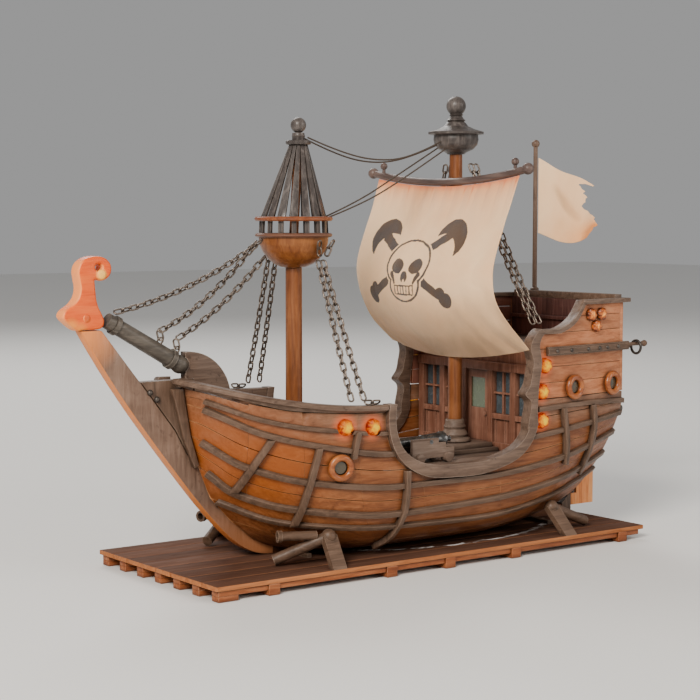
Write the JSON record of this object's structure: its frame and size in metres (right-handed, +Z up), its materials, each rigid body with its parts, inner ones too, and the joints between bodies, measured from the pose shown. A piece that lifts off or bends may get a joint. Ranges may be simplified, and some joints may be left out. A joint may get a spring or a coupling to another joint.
{
  "type": "model sailing ship",
  "caption": "Display model of a two-masted sailing ship with planked hull, printed square sail, chains, crow's nest and glowing lamps on a slatted stand.",
  "frame": {"origin": "centre of the display base's underside", "axes": "+X towards the stern, +Y to starboard, +Z up"},
  "size_m": [0.5141, 0.1968, 0.3496],
  "materials": {
    "base_wood": "satin stained pine",
    "grey_wood": "weathered grey-brown stain",
    "hull_wood": "satin oiled wood",
    "figure_wood": "satin orange lacquer",
    "inner_wood": "satin dark stain",
    "deck_wood": "matte worn planks",
    "dark_metal": "satin dark bronze",
    "mast_wood": "satin red-brown stain",
    "nest_red": "satin red-brown stain",
    "nest_dark": "matte dark grey stain",
    "pane_glass": "dark tinted glass",
    "ring_orange": "satin orange-brown lacquer",
    "lamp_red": "glowing translucent red-orange",
    "battery_plastic": "matte black",
    "sail_cloth": "aged cotton canvas, printed",
    "flag_cloth": "aged cotton, dyed corner",
    "chain_metal": "dark bronze plated",
    "rope": "tarred cord"
  },
  "bodies": {
    "ship": {"base_feet": "base_wood", "base_planks": "base_wood", "base_runners": "base_wood", "battery_box": "battery_plastic", "bolts": "dark_metal", "bow_board": "grey_wood", "bowsprit": "grey_wood", "bulkheads": "inner_wood", "cabin_front": "inner_wood", "cannon_carriage": "dark_metal", "cap_rails": "grey_wood", "castle_sides": "hull_wood", "chains_bow": "chain_metal", "chains_fore": "chain_metal", "chains_main": "chain_metal", "figurehead": "figure_wood", "flag": "flag_cloth", "flag_pole": "mast_wood", "fore_deck": "deck_wood", "foremast": "mast_wood", "head_knee": "grey_wood", "keel": "hull_wood", "lamp_lenses": "lamp_red", "mainmast": "mast_wood", "mast_platform": "deck_wood", "mast_trucks": "dark_metal", "masthead": "dark_metal", "nest_balusters": "nest_dark", "nest_bowl": "mast_wood", "nest_rings": "nest_red", "nest_slats": "nest_dark", "planking_port": "hull_wood", "planking_starboard": "hull_wood", "poop_deck": "deck_wood", "porthole_rings": "ring_orange", "riders": "grey_wood", "rudder_irons": "dark_metal", "sail": "sail_cloth", "spar_collars": "dark_metal", "stay_lower_port": "rope", "stay_lower_starboard": "rope", "stay_upper_port": "rope", "stay_upper_starboard": "rope", "stem_post": "hull_wood", "stern_belt": "dark_metal", "stern_ornaments": "lamp_red", "stern_post": "hull_wood", "transom": "inner_wood", "trestle_aft": "grey_wood", "trestle_fore": "grey_wood", "waist_deck": "deck_wood", "waist_trims": "grey_wood", "wales": "grey_wood", "window_panes": "pane_glass", "yard": "mast_wood"},
    "ring": {"stern_ring": "dark_metal"},
    "rudder_blade": {"rudder": "hull_wood"},
    "gun": {"cannon_barrel": "dark_metal"},
    "door": {"cabin_door": "inner_wood", "door_pane": "pane_glass"}
  },
  "joints": [
    {"name": "rudder_hinge", "type": "hinge", "parent": "ship", "child": "rudder_blade", "pos_m": [0.1975, 0, 0.046], "axis": [0, 0, 1], "range_deg": [-35, 35]},
    {"name": "stern_ring_swing", "type": "hinge", "parent": "ship", "child": "ring", "pos_m": [0.204, -0.06726, 0.155], "axis": [1, 0, 0], "range_deg": [-75, 75]},
    {"name": "gun_elevation", "type": "hinge", "parent": "ship", "child": "gun", "pos_m": [0.008, -0.041, 0.089], "axis": [0, 1, 0], "range_deg": [-5, 12]},
    {"name": "cabin_door_hinge", "type": "hinge", "parent": "ship", "child": "door", "pos_m": [0.1004, 0.0128, 0.107], "axis": [0, 0, 1], "range_deg": [0, 90]}
  ]
}
